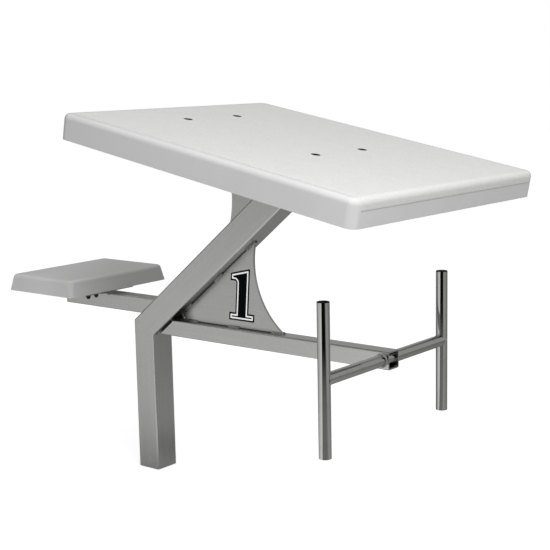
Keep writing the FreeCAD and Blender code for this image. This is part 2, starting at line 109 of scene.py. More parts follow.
placeCamera()
bpy.context.scene.view_settings.view_transform = "Standard"
print("camera placed")


# Node maths: a wrapped socket that adds, subtracts, multiplies and divides like a number
class Wire:
    def __init__(self, recipe, socket):
        self.recipe = recipe
        self.socket = socket

    def __add__(self, other):
        return self.recipe.sum("ADD", self, other)

    def __radd__(self, other):
        return self.recipe.sum("ADD", other, self)

    def __sub__(self, other):
        return self.recipe.sum("SUBTRACT", self, other)

    def __rsub__(self, other):
        return self.recipe.sum("SUBTRACT", other, self)

    def __mul__(self, other):
        return self.recipe.sum("MULTIPLY", self, other)

    def __rmul__(self, other):
        return self.recipe.sum("MULTIPLY", other, self)

    def __truediv__(self, other):
        return self.recipe.sum("DIVIDE", self, other)

    def __rtruediv__(self, other):
        return self.recipe.sum("DIVIDE", other, self)

    def __pow__(self, other):
        return self.recipe.sum("POWER", self, other)

    def __rpow__(self, other):
        return self.recipe.sum("POWER", other, self)

    def __neg__(self):
        return self.recipe.sum("MULTIPLY", self, -1.0)


class Recipe:
    def __init__(self, tree):
        self.tree = tree
        tree.nodes.clear()

    def node(self, kind, settings=None, sockets=None, take=0):
        # settings go on first, then each socket gets a value or a wire; returns one output
        made = self.tree.nodes.new(kind)
        for name, value in (settings or {}).items():
            if name == "stops":
                self.setStops(made.color_ramp, value)
            else:
                setattr(made, name, value)
        for name, value in (sockets or {}).items():
            if isinstance(value, Wire):
                self.tree.links.new(value.socket, made.inputs[name])
            else:
                made.inputs[name].default_value = value
        return Wire(self, made.outputs[take]) if len(made.outputs) else made

    def setStops(self, ramp, stops):
        while len(ramp.elements) < len(stops):
            ramp.elements.new(1.0)
        for element, (place, level) in zip(ramp.elements, stops):
            element.position = place
            element.color = (level, level, level, 1.0)

    def sum(self, operation, first, second):
        return self.node("ShaderNodeMath", {"operation": operation}, {0: first, 1: second})

    def least(self, first, second):
        return self.sum("MINIMUM", first, second)

    def most(self, first, second):
        return self.sum("MAXIMUM", first, second)

    def size(self, value):
        return self.node("ShaderNodeMath", {"operation": "ABSOLUTE"}, {0: value})

    def ease(self, value, start, end, low=0.0, high=1.0):
        return self.node("ShaderNodeMapRange", {"interpolation_type": "SMOOTHSTEP"},
                         {"Value": value, "From Min": start, "From Max": end, "To Min": low, "To Max": high})

    def blend(self, mask, first, second):
        return self.node("ShaderNodeMix", {"data_type": "RGBA"}, {0: mask, 6: first, 7: second}, 2)

    def place(self):
        return self.node("ShaderNodeTexCoord", take="Object")

    def spread(self, slope, along, across):
        # coordinates counted in grain lengths along a sloping direction and grain widths across it
        scale = (along, across, across)
        return self.node("ShaderNodeMapping", {"vector_type": "TEXTURE"},
                         {"Vector": self.place(), "Rotation": (0.0, -slope, 0.0), "Scale": scale})

    def cloud(self, vector, scale, detail=2.0, roughness=0.5):
        return self.node("ShaderNodeTexNoise", {"noise_dimensions": "3D"},
                         {"Vector": vector, "Scale": scale, "Detail": detail, "Roughness": roughness})

    def bump(self, height, distance, strength=1.0):
        return self.node("ShaderNodeBump", None,
                         {"Height": height, "Strength": strength, "Distance": distance})

    def warp(self, vector, scale, reach):
        # pushes a vector about by a cloud's colours
        shift = self.node("ShaderNodeTexNoise", {"noise_dimensions": "3D"},
                          {"Vector": vector, "Scale": scale}, 1)
        scaled = self.node("ShaderNodeVectorMath", {"operation": "SCALE"}, {0: shift, "Scale": reach})
        return self.node("ShaderNodeVectorMath", {"operation": "ADD"}, {0: vector, 1: scaled})

    def split(self, vector):
        made = self.node("ShaderNodeSeparateXYZ", None, {"Vector": vector}).socket.node
        return [Wire(self, output) for output in made.outputs]


def colour(red, green=None, blue=None):
    green = red if green is None else green
    blue = red if blue is None else blue
    return (red, green, blue, 1.0)


def newFinish(name):
    material = bpy.data.materials.new(name)
    material.use_nodes = True
    return material, Recipe(material.node_tree)


def surface(recipe, sockets):
    shader = recipe.node("ShaderNodeBsdfPrincipled", None, sockets)
    recipe.node("ShaderNodeOutputMaterial", None, {"Surface": shader})


# Studio: bands of light and dark around the block, white to the camera alone.
# Each band is an angle in degrees, 0 at -Y and 90 at +X, with the brightness there
studio = {
    "walls": [(-180, 0.20), (-158, 0.36), (-137, 0.38), (-126, 0.02), (-100, 0.02), (-86, 0.18),
              (-45, 0.26), (-21, 0.36), (6, 0.38), (15, 0.002), (64, 0.002), (76, 0.16), (99, 0.24),
              (120, 0.36), (160, 0.36), (180, 0.20)],
    "ground": [(-180, 0.48), (-150, 0.48), (-125, 0.22), (-73, 0.54), (-50, 0.88), (-44, 0.88),
               (-36, 0.78), (-21, 0.97), (5, 0.97), (14, 0.004), (63, 0.004), (74, 0.30), (99, 0.38),
               (123, 0.34), (151, 0.27), (171, 0.36), (180, 0.48)],
    "overhead": {"level": 0.86, "from": 0.58, "to": 0.86},
    "floor": {"centre": Vector((0.4, 0.0, 0.0)), "half": 14.0, "drop": 0.0005,
              "seen": 0.42, "seenGlow": 0.80},
    "nearFloor": {"from": 1.0, "to": 2.6, "dim": 0.84},
    "skirt": {"from": 2.3, "to": 1.3, "level": 0.14},
    "bounce": {"from": 1.5, "to": 0.5, "level": 0.06},
    "lamps": [
        {"name": "keyLight", "place": Vector((3.4, -1.35, 2.85)), "aim": Vector((0.35, 0.0, 0.6)),
         "size": 1.8, "power": 78.0},
        {"name": "fillLight", "place": Vector((1.6, -1.3, 1.3)), "aim": Vector((0.6, -0.1, 0.6)),
         "size": 0.7, "power": 8.0},
    ],
}


def bandStops(bands):
    return [((angle + 180.0) / 360.0, level) for angle, level in bands]


def compass(recipe, x, y):
    # 0 to 1 round the block, 0.5 at -Y, rising towards +X
    turn = recipe.sum("ARCTAN2", x, -y)
    return turn / (2.0 * math.pi) + 0.5


def lightStudio():
    world = bpy.data.worlds.new("studio")
    world.use_nodes = True
    bpy.context.scene.world = world
    recipe = Recipe(world.node_tree)
    direction = recipe.node("ShaderNodeTexCoord", take="Generated")
    x, y, z = recipe.split(direction)
    turn = compass(recipe, x, y)
    ring = recipe.node("ShaderNodeValToRGB", {"stops": bandStops(studio["walls"])}, {0: turn})
    overhead = studio["overhead"]
    soft = recipe.blend(recipe.ease(z, overhead["from"], overhead["to"]), ring, colour(overhead["level"]))
    camera = recipe.node("ShaderNodeLightPath", take="Is Camera Ray")
    seen = recipe.blend(camera, soft, colour(1.0))
    glow = recipe.node("ShaderNodeBackground", None, {"Color": seen, "Strength": 1.0})
    recipe.node("ShaderNodeOutputWorld", None, {"Surface": glow})

    for lamp in studio["lamps"]:
        light = bpy.data.lights.new(lamp["name"], "AREA")
        light.shape = "DISK"
        light.size = lamp["size"]
        light.energy = lamp["power"]
        stand = bpy.data.objects.new(lamp["name"], light)
        stand.location = lamp["place"]
        stand.rotation_euler = (lamp["place"] - lamp["aim"]).to_track_quat("Z", "Y").to_euler()
        stand.visible_camera = False
        stand.visible_glossy = False
        bpy.context.scene.collection.objects.link(stand)


def layFloor():
    laid = studio["floor"]
    bm = bmesh.new()
    bmesh.ops.create_grid(bm, x_segments=1, y_segments=1, size=laid["half"])
    bmesh.ops.translate(bm, vec=laid["centre"] - Vector((0, 0, laid["drop"])), verts=bm.verts)
    mesh = bpy.data.meshes.new("floor")
    bm.to_mesh(mesh)
    bm.free()
    floor = bpy.data.objects.new("floor", mesh)
    bpy.context.scene.collection.objects.link(floor)
    material, recipe = newFinish("paleFloor")
    x, y, z = recipe.split(recipe.place())
    outX = x - laid["centre"].x
    turn = compass(recipe, outX, y)
    reach = (outX * outX + y * y) ** 0.5
    ring = recipe.node("ShaderNodeValToRGB", {"stops": bandStops(studio["ground"])}, {0: turn})
    camera = recipe.node("ShaderNodeLightPath", take="Is Camera Ray")
    near = studio["nearFloor"]
    skirt = studio["skirt"]
    bounce = studio["bounce"]
    # painted shade: the floor's colour is dimmed within 1 m of the block and eases back by 2.6 m
    dimmed = ring * recipe.ease(reach, near["from"], near["to"], near["dim"], 1.0)
    tone = recipe.most(dimmed, recipe.ease(reach, skirt["from"], skirt["to"], 0.0, skirt["level"]))
    shown = recipe.blend(camera, tone, colour(laid["seen"]))
    paint = recipe.node("ShaderNodeBsdfDiffuse", None, {"Color": shown})
    lift = recipe.ease(reach, bounce["from"], bounce["to"], 0.0, bounce["level"])
    glow = recipe.node("ShaderNodeEmission", None,
                       {"Color": colour(1.0), "Strength": camera * (laid["seenGlow"] - lift) + lift})
    both = recipe.node("ShaderNodeAddShader", None, {0: paint, 1: glow})
    recipe.node("ShaderNodeOutputMaterial", None, {"Surface": both})
    mesh.materials.append(material)


lightStudio()
layFloor()
print("studio lit")


# Finishes
steel = {
    "dark": colour(0.58, 0.58, 0.57),
    "light": colour(0.70, 0.70, 0.69),
    # near black, painted on the steel for shade
    "shaded": colour(0.06, 0.06, 0.062),
    "grainLength": 0.045,
    "grainWidth": 0.0005,
    "rough": 0.30,
    "rubFrom": 0.006,
    "rubTo": 0.001,
}


# Painted shade on the steel: pairs of distances where the painted shade starts and where it is full, and how
# strong it gets
shadeReach = {
    "skin": (0.004, 0.001),
    "width": (0.031, 0.024),
    "length": (0.42, 0.10),
    "share": (0.25, 0.85),
    "strutSeam": (0.0032, 0.0016),
    "armSeam": (0.0026, 0.0012),
    "seamShare": 0.9,
    "corner": (0.044, 0.016),
    "beads": (0.064, 0.034),
}


def fromPoint(recipe, point, *axes):
    # how far the surface lies from a point, along each axis given
    out = [value - start for value, start in zip(recipe.split(recipe.place()), point)]
    return [sum(value * share for value, share in zip(out, axis) if share) for axis in axes]


def strutShade(recipe):
    # painted shade: dark on the strut's lower face, beside the front gusset's seam
    off, along, side = fromPoint(recipe, block["frontKnee"], strutOff, strutAlong, sideways)
    face = recipe.ease(off, *shadeReach["skin"]) * recipe.ease(recipe.size(side), *shadeReach["width"])
    return face * recipe.ease(along, *shadeReach["length"], *shadeReach["share"])


def gussetShade(recipe):
    # painted shade: a dark line in the seams and a black wedge in the corner between strut and arm
    offStrut = recipe.size(fromPoint(recipe, block["frontKnee"], strutOff)[0])
    offArm = fromPoint(recipe, block["frontCorner"], upward)[0]
    onStrut = recipe.ease(offStrut, *shadeReach["strutSeam"])
    onArm = recipe.ease(offArm, *shadeReach["armSeam"])
    corner = recipe.ease(offStrut + offArm, *shadeReach["corner"])
    return recipe.most(recipe.most(onStrut, onArm) * shadeReach["seamShare"], corner)


def satinSteel(name, slope, cornerHalf=None, shadeMask=None):
    # long fine grain along the piece, soft cloudy variation and brighter rubbed corners
    material, recipe = newFinish(name)
    brushed = recipe.spread(slope, steel["grainLength"], steel["grainWidth"])
    grain = recipe.cloud(brushed, 1.0, 3.0, 0.6) - 0.5
    long = recipe.cloud(recipe.spread(slope, 0.35, 0.006), 1.0, 2.0) - 0.5
    patch = recipe.cloud(recipe.place(), 11.0, 3.0) - 0.5
    tone = 0.5 + grain * 0.9 + long * 0.7 + patch * 0.5
    rough = steel["rough"] + grain * 0.16 + patch * 0.10
    if cornerHalf:
        x, y, z = recipe.split(recipe.place())
        rubbed = recipe.ease(recipe.size(y), cornerHalf - steel["rubFrom"], cornerHalf - steel["rubTo"])
        tone = tone + rubbed * 0.25
        rough = rough - rubbed * 0.05
    paint = recipe.blend(tone, steel["dark"], steel["light"])
    # painted shade: a given mask blends the steel's colour towards near black
    if shadeMask:
        paint = recipe.blend(shadeMask(recipe), paint, steel["shaded"])
    surface(recipe, {
        "Base Color": paint,
        "Metallic": 1.0,
        "Roughness": rough,
        "Normal": recipe.bump(grain, 0.00006, 0.35),
    })
    return material


polish = {
    "tone": colour(0.64, 0.635, 0.625),
    "smeared": colour(0.60, 0.595, 0.585),
    "rough": 0.055,
}


def polishedSteel(name):
    material, recipe = newFinish(name)
    smear = recipe.ease(recipe.cloud(recipe.place(), 34.0, 4.0, 0.6), 0.45, 0.75)
    lines = recipe.cloud(recipe.spread(0.0, 0.0006, 0.02), 1.0, 2.0) - 0.5
    wave = recipe.cloud(recipe.place(), 26.0, 1.0)
    surface(recipe, {
        "Base Color": recipe.blend(smear, polish["tone"], polish["smeared"]),
        "Metallic": 1.0,
        "Roughness": polish["rough"] + smear * 0.05 + lines * 0.02,
        "Normal": recipe.bump(wave + lines * 0.03, 0.0004, 0.12),
    })
    return material


def weldMetal(name):
    # silver ripples, straw and blue tints where the heat stayed, and painted shade: black in the front arm's
    # inner corner
    material, recipe = newFinish(name)
    outX, outZ = fromPoint(recipe, block["frontCorner"], armAlong, upward)
    cornerShade = recipe.ease((outX * outX + outZ * outZ) ** 0.5, *shadeReach["beads"])
    heat = recipe.cloud(recipe.place(), 60.0, 3.0, 0.6)
    straw = recipe.blend(recipe.ease(heat, 0.50, 0.66), colour(0.66, 0.66, 0.65), colour(0.60, 0.575, 0.52))
    tint = recipe.blend(recipe.ease(heat, 0.66, 0.76), straw, colour(0.44, 0.45, 0.49))
    pits = recipe.cloud(recipe.place(), 2400.0, 2.0)
    surface(recipe, {
        "Base Color": recipe.blend(cornerShade, tint, steel["shaded"]),
        "Metallic": 0.8,
        "Roughness": 0.42 + heat * 0.16,
        "Normal": recipe.bump(pits, 0.00008, 0.5),
    })
    return material


def fastenerSteel(name):
    material, recipe = newFinish(name)
    turned = recipe.cloud(recipe.spread(-block["treadSlope"], 0.02, 0.0004), 1.0, 2.0) - 0.5
    wearAndShade = recipe.cloud(recipe.place(), 140.0, 3.0)
    surface(recipe, {
        "Base Color": recipe.blend(wearAndShade, colour(0.40, 0.40, 0.39), colour(0.55, 0.55, 0.54)),
        "Metallic": 1.0,
        "Roughness": 0.28 + turned * 0.12 + wearAndShade * 0.08,
        "Normal": recipe.bump(turned, 0.00005, 0.4),
    })
    return material


def domeNutSteel(name):
    # painted shade: the dome nuts' steel is near black, for the shade under the step
    material, recipe = newFinish(name)
    wearAndShade = recipe.ease(recipe.cloud(recipe.place(), 260.0, 3.0), 0.55, 0.75)
    surface(recipe, {
        "Base Color": recipe.blend(wearAndShade, colour(0.035, 0.035, 0.038), colour(0.12, 0.12, 0.12)),
        "Metallic": 0.8,
        "Roughness": 0.34 + wearAndShade * 0.15,
        "Normal": recipe.bump(wearAndShade, 0.00005, 0.3),
    })
    return material


# Painted shade: the drilled walls of the tread's four counterbores are painted near black, for their bare
# laminate and the shade inside them
boreShade = {
    "edge": (0.0102, 0.0098),
    "tone": colour(0.03, 0.03, 0.032),
}


def shadedBores(recipe, paint):
    back, side = fromPoint(recipe, block["treadFront"], treadBack, sideways)
    first, second = (recipe.size(back - reach) for reach in block["boltsBack"])
    along = recipe.least(first, second)
    across = recipe.size(side) - block["boltsApart"]
    reach = (along * along + across * across) ** 0.5
    return recipe.blend(recipe.ease(reach, *boreShade["edge"]), paint, boreShade["tone"])


coat = {
    "white": colour(0.78, 0.78, 0.775),
    "pit": colour(0.64, 0.64, 0.635),
    "grain": 620.0,
}


def sandCoat(name):
    # white paint over scattered sand: rounded grains, thin spots between them and a soft roller pattern
    material, recipe = newFinish(name)
    grains = recipe.node("ShaderNodeTexVoronoi", {"feature": "SMOOTH_F1"},
                         {"Vector": recipe.place(), "Scale": coat["grain"], "Smoothness": 0.4})
    clumps = recipe.cloud(recipe.place(), 190.0, 3.0, 0.6)
    roller = recipe.cloud(recipe.place(), 28.0, 2.0)
    height = clumps * 0.7 - grains * 0.9
    low = recipe.ease(height, 0.05, -0.35)
    tone = low * 0.55 + (roller - 0.5) * 0.35
    surface(recipe, {
        "Base Color": shadedBores(recipe, recipe.blend(tone, coat["white"], coat["pit"])),
        "Roughness": 0.74 + low * 0.12,
        "Specular IOR Level": 0.35,
        "Normal": recipe.bump(height, 0.0006, 0.55),
    })
    return material


tread = {
    "tone": colour(0.745, 0.745, 0.743),
    "rough": 0.38,
    "shine": 0.10,
}
rearStep = {
    "tone": colour(0.80, 0.80, 0.797),
    "wearAndShade": colour(0.64, 0.64, 0.635),
    "shadeFrom": -0.33,
    "shadeTo": -0.10,
    "skew": 0.7,
    "rough": 0.42,
    "shine": 0.08,
}


def stepShade(recipe, paint):
    # painted shade: the step's colour goes grey where the tread and strut shade it
    # greyer towards the post and the far side, as in the photograph
    x, y, z = recipe.split(recipe.place())
    wearAndShade = recipe.ease(x + y * rearStep["skew"], rearStep["shadeFrom"], rearStep["shadeTo"])
    return recipe.blend(wearAndShade, paint, rearStep["wearAndShade"])


def whiteGelcoat(name, look, mark):
    # moulded gloss: faint orange peel, slow waves and a breath of haze
    material, recipe = newFinish(name)
    peel = recipe.cloud(recipe.place(), 420.0, 2.0)
    wave = recipe.cloud(recipe.place(), 14.0, 2.0)
    haze = recipe.cloud(recipe.place(), 5.0, 4.0, 0.6)
    dull = tuple(channel * 0.955 for channel in look["tone"][:3]) + (1.0,)
    paint = recipe.blend(recipe.ease(haze, 0.35, 0.7), look["tone"], dull)
    surface(recipe, {
        "Base Color": mark(recipe, paint),
        "Roughness": look["rough"] + (haze - 0.5) * 0.10,
        "Coat Weight": look["shine"],
        "Coat Roughness": 0.16,
        "Normal": recipe.bump(peel * 0.08 + wave, 0.0008, 0.18),
    })
    return material


backing = {
    "clear": colour(0.54, 0.54, 0.53),
    "strand": colour(0.44, 0.44, 0.43),
}


def rolledBacking(name):
    # gelcoat rolled over chopped glass strands
    material, recipe = newFinish(name)
    strands = recipe.node("ShaderNodeTexVoronoi", {"feature": "DISTANCE_TO_EDGE"},
                          {"Vector": recipe.warp(recipe.place(), 30.0, 0.02), "Scale": 90.0})
    roller = recipe.cloud(recipe.place(), 150.0, 3.0)
    line = recipe.ease(strands, 0.10, 0.0)
    surface(recipe, {
        "Base Color": recipe.blend(line * 0.4 + roller * 0.3, backing["clear"], backing["strand"]),
        "Roughness": 0.42 + roller * 0.15,
        "Normal": recipe.bump(roller + line * 0.5, 0.0006, 0.5),
    })
    return material


wood = {
    "pale": colour(0.62, 0.47, 0.29),
    "dark": colour(0.40, 0.27, 0.15),
}


def plywood(name):
    material, recipe = newFinish(name)
    ply = recipe.node("ShaderNodeTexWave", {"wave_type": "BANDS", "bands_direction": "Z"},
                      {"Vector": recipe.place(), "Scale": 55.0, "Distortion": 0.6, "Detail": 1.0})
    grain = recipe.cloud(recipe.spread(0.0, 0.12, 0.0025), 1.0, 4.0, 0.6)
    surface(recipe, {
        "Base Color": recipe.blend(grain * 0.6 + ply * 0.4, wood["pale"], wood["dark"]),
        "Roughness": 0.62 + grain * 0.12,
        "Normal": recipe.bump(grain, 0.0003, 0.3),
    })
    return material


def blackPlastic(name):
    material, recipe = newFinish(name)
    spark = recipe.cloud(recipe.place(), 1300.0, 2.0)
    scuff = recipe.ease(recipe.cloud(recipe.place(), 90.0, 4.0, 0.65), 0.55, 0.8)
    surface(recipe, {
        "Base Color": recipe.blend(scuff, colour(0.004, 0.004, 0.0045), colour(0.018, 0.018, 0.018)),
        "Roughness": 0.6 + scuff * 0.2,
        "Specular IOR Level": 0.05,
        "Normal": recipe.bump(spark, 0.0001, 0.4),
    })
    return material


film = {
    "dark": {"tone": colour(0.002, 0.0025, 0.004), "shade": colour(0.004, 0.0045, 0.006), "glow": 0.0},
    "white": {"tone": colour(0.93, 0.935, 0.95), "shade": colour(0.88, 0.885, 0.90), "glow": 0.45},
}


def vinyl(name, look):
    # cut film: slight peel of the steel's grain through it, and a painted glow in the white, which gives off
    # light of its own
    material, recipe = newFinish(name)
    grain = recipe.cloud(recipe.spread(0.0, steel["grainLength"], 0.0012), 1.0, 2.0) - 0.5
    haze = recipe.cloud(recipe.place(), 70.0, 3.0)
    surface(recipe, {
        "Base Color": recipe.blend(recipe.ease(haze, 0.4, 0.75), look["tone"], look["shade"]),
        "Roughness": 0.48 + haze * 0.12,
        "Specular IOR Level": 0.05,
        "Emission Color": colour(1.0),
        "Emission Strength": look["glow"],
        "Normal": recipe.bump(grain, 0.00006, 0.3),
    })
    return material


upPost = satinSteel("satinSteelPost", math.radians(90.0), block["tubeSide"] / 2.0)
upStrut = satinSteel("satinSteelStrut", block["strutSlope"], block["tubeSide"] / 2.0, strutShade)
alongArms = satinSteel("satinSteelArms", 0.0, block["armSide"] / 2.0)
alongPlates = satinSteel("satinSteelPlates", 0.0)
gussetSteel = satinSteel("satinSteelGusset", 0.0, None, gussetShade)
underTread = satinSteel("satinSteelHead", -block["treadSlope"])
mirrorSteel = polishedSteel("polishedSteel")
weldSilver = weldMetal("weldSteel")
boltSteel = fastenerSteel("fastenerSteel")
nutSteel = domeNutSteel("domeNutSteel")
plugPlastic = blackPlastic("plugPlastic")
treadGloss = whiteGelcoat("treadGelcoat", tread, shadedBores)
stepGloss = whiteGelcoat("stepMoulding", rearStep, stepShade)
treadSand = sandCoat("nonSlipCoat")
backingRolled = rolledBacking("rolledBacking")
corePly = plywood("corePlywood")
filmDark = vinyl("filmDark", film["dark"])
filmWhite = vinyl("filmWhite", film["white"])

nodeFinish = {
    "post_tube": upPost, "foot_plug": upPost, "strut_tube": upStrut,
    "front_arm": alongArms, "rear_arm": alongArms, "rear_arm_plug": plugPlastic,
    "front_gusset": gussetSteel, "rear_gusset": underTread,
    "head_plate": underTread, "step_plate": alongPlates,
    "front_gusset_welds": weldSilver, "rear_gusset_welds": weldSilver, "front_arm_welds": weldSilver,
    "rear_arm_welds": weldSilver, "head_plate_welds": weldSilver, "cross_bar_welds": weldSilver,
    "step_plate_welds": weldSilver, "grip_welds": mirrorSteel,
    "cross_bar": mirrorSteel, "grip_right": mirrorSteel, "grip_left": mirrorSteel,
    "grip_top_plugs": plugPlastic, "grip_bottom_plugs": plugPlastic,
    "tread_shell": treadGloss, "tread_core": corePly,
    "tread_backing": backingRolled, "tread_grit": treadSand,
    "tread_bolts": boltSteel, "tread_washers": boltSteel, "tread_nuts": boltSteel,
    "step_shell": stepGloss, "step_core": corePly, "step_backing": stepGloss,
    "step_studs": boltSteel, "step_washers": boltSteel, "step_nuts": nutSteel,
    "number_border": filmDark, "number_line": filmWhite, "number_figure": filmDark,
}
for nodeName, material in nodeFinish.items():
    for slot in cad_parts[nodeName].material_slots:
        slot.material = material
print("finishes made")


def keepPiece(name, bm, material, slotName, *nodes):
    # turns a finished bmesh into a piece of the part that stands for its CAD nodes
    mesh = bpy.data.meshes.new(name)
    bm.to_mesh(mesh)
    bm.free()
    mesh.shade_smooth()
    mesh.set_sharp_from_angle(angle=math.radians(50.0))
    mesh.materials.append(material)
    piece = bpy.data.objects.new(name, mesh)
    bpy.context.scene.collection.objects.link(piece)
    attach(piece, "root")
    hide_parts(*nodes)
    print(name, len(mesh.polygons), "faces")
    return piece


# Weld beads, laid as overlapping crescents
bead = {
    "leg": 0.0045,
    "crown": 0.20,
    "ripple": 0.0018,
    "swell": (0.92, 1.10, 1.04),
    "taper": (0.45, 0.85),
    "lag": 0.9,
    "stitch": 0.032,
    "pitch": 0.125,
    "plateHalf": 0.003,
    "ringLeg": 0.0025,
    "ringSwell": 0.10,
    "ringRipples": 46,
}
# Where each row of stitches starts and must end, measured from its corner
stitches = {
    "frontOnArm": (0.0385, 0.3211),
    "frontOnStrut": (0.0355, 0.3178),
    "rearOnPlate": (0.0165, 0.207262),
    "rearOnStrut": (0.0165, 0.235),
}


def grow(bm, edges, step):
    # extrudes edges by a step and returns the new vertices and the new edges between them
    fresh = bmesh.ops.extrude_edge_only(bm, edges=edges)["geom"]
    verts = [item for item in fresh if isinstance(item, bmesh.types.BMVert)]
    reached = set(verts)
    bmesh.ops.translate(bm, vec=step, verts=verts)
    return verts, [item for item in fresh
                   if isinstance(item, bmesh.types.BMEdge) and set(item.verts) <= reached]


def layBead(bm, start, run, sideA, sideB, leg):
    along = run.normalized()
    ripples = max(4, round(run.length / bead["ripple"]))
    stations = ripples * 3
    step = run / stations
    ring = [bm.verts.new(start)]
    for share in (0.0, 0.25, 0.5, 0.75, 1.0):
        bulge = 1.0 + bead["crown"] * 4.0 * share * (1.0 - share)
        ring.append(bm.verts.new(start + (sideA * (1.0 - share) + sideB * share) * leg * bulge))
    loop = [bm.edges.new(pair) for pair in zip(ring, ring[1:] + ring[:1])]
    made = list(ring)
    ends = [list(loop)]
    size = 1.0
    taper = list(bead["taper"])
    wanted = taper + [bead["swell"][index % 3] for index in range(2, stations - 1)] + taper[::-1]
    for index, target in enumerate(wanted):
        centre = start + step * index
        if index:
            ring, loop = grow(bm, loop, step)
            made.extend(ring)
        change = Vector((1, 1, 1)) * (target / size)
        bmesh.ops.scale(bm, vec=change, space=Matrix.Translation(-centre), verts=ring)
        size = target
    ends.append(list(loop))
    for edges in ends:
        bmesh.ops.contextual_create(bm, geom=edges)
    middle = (sideA + sideB).normalized()
    for vert in made:
        # the middle of each ripple trails behind its toes
        height = max(0.0, (vert.co - start).dot(middle)) / leg
        reach = (vert.co - start).dot(along) / run.length
        vert.co += along * bead["lag"] * bead["ripple"] * height * 4.0 * reach * (1.0 - reach)


def finishBeads(name, beads, *nodes):
    bm = bmesh.new()
    for start, run, sideA, sideB, leg in beads:
        layBead(bm, start, run, sideA, sideB, leg)
    bmesh.ops.recalc_face_normals(bm, faces=bm.faces)
    keepPiece(name, bm, weldSilver, "weld_steel", *nodes)


def stitchRow(corner, along, ends, offSeam):
    beads = []
    place, last = ends
    while place + bead["stitch"] <= last + 1e-6:
        for side in (-1, 1):
            start = corner + along * place + Vector((0, side * bead["plateHalf"], 0))
            beads.append((start, along * bead["stitch"], offSeam, Vector((0, side, 0)), bead["leg"]))
        place += bead["pitch"]
    return beads


def alongStrut(knee, height):
    # the point of a strut edge at a height
    return knee + strutAlong * ((height - knee.z) / strutAlong.z)


def armSeam(knee, offFace, low, high):
    foot = alongStrut(knee, low)
    head = alongStrut(knee, high)
    away = Vector((1.0 if offFace.x > 0 else -1.0, 0, 0))
    half = block["armSide"] / 2.0
    flat = half - block["armCorner"]
    beads = []
    for side in (-1, 1):
        start = Vector((foot.x, side * half, foot.z)) + strutAlong * block["armCorner"]
        run = head - foot - strutAlong * 2 * block["armCorner"]
        beads.append((start, run, offFace, Vector((0, side, 0)), bead["leg"]))
    lowLeg = min(bead["leg"], (foot - knee).length * 0.8)
    across = Vector((0, 2 * flat, 0))
    beads.append((Vector((foot.x, -flat, foot.z)), across, away, -strutAlong, lowLeg))
    beads.append((Vector((head.x, -flat, head.z)), across, away, strutAlong, bead["leg"]))
    return beads


def headSeam():
    front = block["strutEndFront"]
    half = block["tubeSide"] / 2.0
    flat = half - block["tubeCorner"]
    run = block["strutEndRear"] - front - treadBack * 2 * block["tubeCorner"]
    beads = []
    for side in (-1, 1):
        start = Vector((front.x, side * half, front.z)) + treadBack * block["tubeCorner"]
        beads.append((start, run, treadDown, Vector((0, side, 0)), bead["leg"]))
    across = Vector((0, 2 * flat, 0))
    beads.append((Vector((front.x, -flat, front.z)), across, -treadBack, -strutAlong, bead["leg"]))
    return beads


def stepSeam():
    run = armAlong * (block["stepSeamEnd"] - block["stepSeamStart"])
    leg = block["armCorner"] + 0.002
    beads = []
    for side in (-1, 1):
        start = Vector((block["stepSeamStart"], side * block["armSide"] / 2.0, block["rearArmTop"]))
        beads.append((start, run, Vector((0, 0, -1)), Vector((0, side, 0)), leg))
    return beads


def ringWelds():
    # a rippled ring round the cross bar at each side wall of the arm
    bm = bmesh.new()
    ripples = bead["ringRipples"]
    for side in (-1, 1):
        root = Vector((block["barX"], side * block["armSide"] / 2.0, block["barHeight"] + block["barRadius"]))
        ring = [bm.verts.new(root)]
        for share in (0.0, 0.33, 0.67, 1.0):
            bulge = 1.0 + bead["crown"] * 4.0 * share * (1.0 - share)
            off = Vector((0, side * (1.0 - share), share)) * bead["ringLeg"] * bulge
            ring.append(bm.verts.new(root + off))
        loop = [bm.edges.new(pair) for pair in zip(ring, ring[1:] + ring[:1])]
        centre = Vector((block["barX"], root.y, block["barHeight"]))
        bmesh.ops.spin(bm, geom=ring + loop, cent=centre, axis=Vector((0, 1, 0)), dvec=Vector((0, 0, 0)),
                       angle=2 * math.pi, steps=ripples * 3, use_merge=True, use_duplicate=False)
    for vert in bm.verts:
        side = -1 if vert.co.y < 0 else 1
        centre = Vector((block["barX"], side * block["armSide"] / 2.0, block["barHeight"]))
        spoke = Vector((vert.co.x - centre.x, 0, vert.co.z - centre.z))
        root = centre + spoke.normalized() * block["barRadius"]
        turn = math.atan2(spoke.x, spoke.z) / (2 * math.pi) * ripples
        vert.co = root + (vert.co - root) * (1.0 + bead["ringSwell"] * math.sin(2 * math.pi * turn))
    bmesh.ops.recalc_face_normals(bm, faces=bm.faces)
    keepPiece("barRingWelds", bm, weldSilver, "weld_steel", "cross_bar_welds")


finishBeads("frontGussetStitches",
            stitchRow(block["frontCorner"], armAlong, stitches["frontOnArm"], upward)
            + stitchRow(block["frontCorner"], strutAlong, stitches["frontOnStrut"], -strutOff),
            "front_gusset_welds")
finishBeads("rearGussetStitches",
            stitchRow(block["strutEndRear"], treadBack, stitches["rearOnPlate"], treadDown)
            + stitchRow(block["strutEndRear"], -strutAlong, stitches["rearOnStrut"], strutOff),
            "rear_gusset_welds")
finishBeads("frontArmSeam",
            armSeam(block["frontKnee"], -strutOff, block["frontArmBottom"], block["frontArmTop"]),
            "front_arm_welds")
finishBeads("rearArmSeam",
            armSeam(block["rearKnee"], strutOff, block["rearArmBottom"], block["rearArmTop"]),
            "rear_arm_welds")
finishBeads("headPlateSeam", headSeam(), "head_plate_welds")
finishBeads("stepPlateSeam", stepSeam(), "step_plate_welds")
ringWelds()
print("welds laid")


